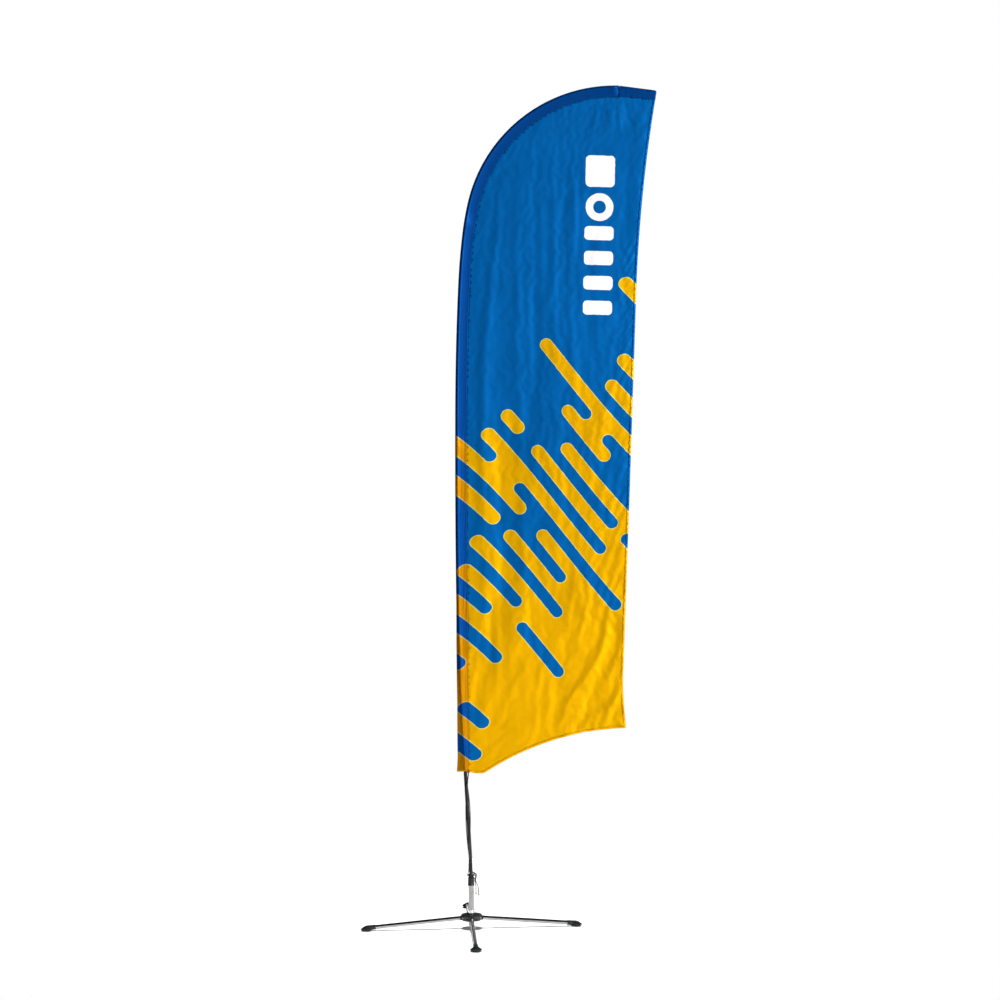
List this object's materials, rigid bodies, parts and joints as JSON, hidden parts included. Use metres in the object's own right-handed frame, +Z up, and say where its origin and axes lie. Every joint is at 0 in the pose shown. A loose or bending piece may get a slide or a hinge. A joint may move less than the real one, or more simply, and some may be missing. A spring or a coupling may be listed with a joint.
{
  "type": "feather flag with pole",
  "caption": "Tall curved fabric flag on a bowed sectional pole, free to turn in a ball-bearing spindle on a cross base with folding round-footed legs.",
  "frame": {"origin": "on the floor, on the vertical axis that the flag turns about", "axes": "+Z up, +X from the pole towards the flag's free edge at rest, -Y towards the side that the flag is seen from"},
  "size_m": [1.236, 0.892, 3.3879],
  "materials": {
    "black_plastic": "satin",
    "knuckle_nylon": "matte",
    "ferrule_plastic": "satin",
    "foot_rubber": "matte",
    "chrome_leg": "polished",
    "chrome_tube": "satin",
    "collar_metal": "satin",
    "zinc_steel": "satin",
    "bearing_steel": "polished",
    "spring_steel": "satin",
    "cage_brass": "satin",
    "pole_composite": "gloss",
    "flag_fabric": "satin",
    "sleeve_fabric": "satin",
    "tab_webbing": "matte",
    "cord_black": "matte",
    "cord_grey": "matte",
    "cord_ends": "satin"
  },
  "bodies": {
    "base": {"hub_body": "black_plastic", "hub_cover": "black_plastic", "hub_screws": "zinc_steel", "leg_pins": "zinc_steel", "bearing_outer_race": "bearing_steel", "bearing_balls": "bearing_steel", "bearing_cage": "cage_brass"},
    "rotor": {"bearing_inner_race": "bearing_steel", "bearing_spacer": "bearing_steel", "retaining_ring": "spring_steel", "rotator_tube": "chrome_tube", "rotator_collar": "collar_metal", "collar_screws": "spring_steel", "tube_plug": "black_plastic"},
    "pole": {"pole_ferrule": "ferrule_plastic", "ferrule_screw": "spring_steel", "hook_ring": "ferrule_plastic", "pole_butt_cap": "ferrule_plastic", "pole_section_1": "pole_composite", "pole_section_2": "pole_composite", "pole_section_3": "pole_composite", "pole_section_4": "pole_composite", "section_collar_1": "zinc_steel", "section_collar_2": "zinc_steel", "section_collar_3": "zinc_steel", "pole_tip_cap": "ferrule_plastic", "pole_sleeve": "sleeve_fabric", "flag_panel": "flag_fabric", "tip_pocket": "sleeve_fabric", "tether_tab": "tab_webbing", "tether_cord": "cord_black", "tether_return": "cord_grey", "tether_knot": "cord_black", "cord_tail_1": "cord_black", "cord_tail_2": "cord_black", "cord_tip_1": "cord_ends", "cord_tip_2": "cord_ends"},
    "leg_right": {"leg_right_knuckle": "knuckle_nylon", "leg_right_rivet": "zinc_steel", "leg_right_tube": "chrome_leg", "leg_right_foot": "foot_rubber"},
    "leg_rear": {"leg_rear_knuckle": "knuckle_nylon", "leg_rear_rivet": "zinc_steel", "leg_rear_tube": "chrome_leg", "leg_rear_foot": "foot_rubber"},
    "leg_left": {"leg_left_knuckle": "knuckle_nylon", "leg_left_rivet": "zinc_steel", "leg_left_tube": "chrome_leg", "leg_left_foot": "foot_rubber"},
    "leg_front": {"leg_front_knuckle": "knuckle_nylon", "leg_front_rivet": "zinc_steel", "leg_front_tube": "chrome_leg", "leg_front_foot": "foot_rubber"}
  },
  "joints": [
    {"name": "flag_spin", "type": "hinge", "parent": "base", "child": "rotor", "pos_m": [0, 0, 0.06], "axis": [0, 0, 1], "continuous": true},
    {"name": "pole_lift", "type": "slide", "parent": "rotor", "child": "pole", "axis": [0, 0, 1], "range_m": [0, 0.1]},
    {"name": "leg_right_fold", "type": "hinge", "parent": "base", "child": "leg_right", "pos_m": [0.036, 0, 0.044], "axis": [0, 1, 0], "range_deg": [0, 85]},
    {"name": "leg_rear_fold", "type": "hinge", "parent": "base", "child": "leg_rear", "pos_m": [0, 0.036, 0.044], "axis": [-1, 0, 0], "range_deg": [0, 85]},
    {"name": "leg_left_fold", "type": "hinge", "parent": "base", "child": "leg_left", "pos_m": [-0.036, 0, 0.044], "axis": [0, -1, 0], "range_deg": [0, 85]},
    {"name": "leg_front_fold", "type": "hinge", "parent": "base", "child": "leg_front", "pos_m": [0, -0.036, 0.044], "axis": [1, 0, 0], "range_deg": [0, 85]}
  ]
}
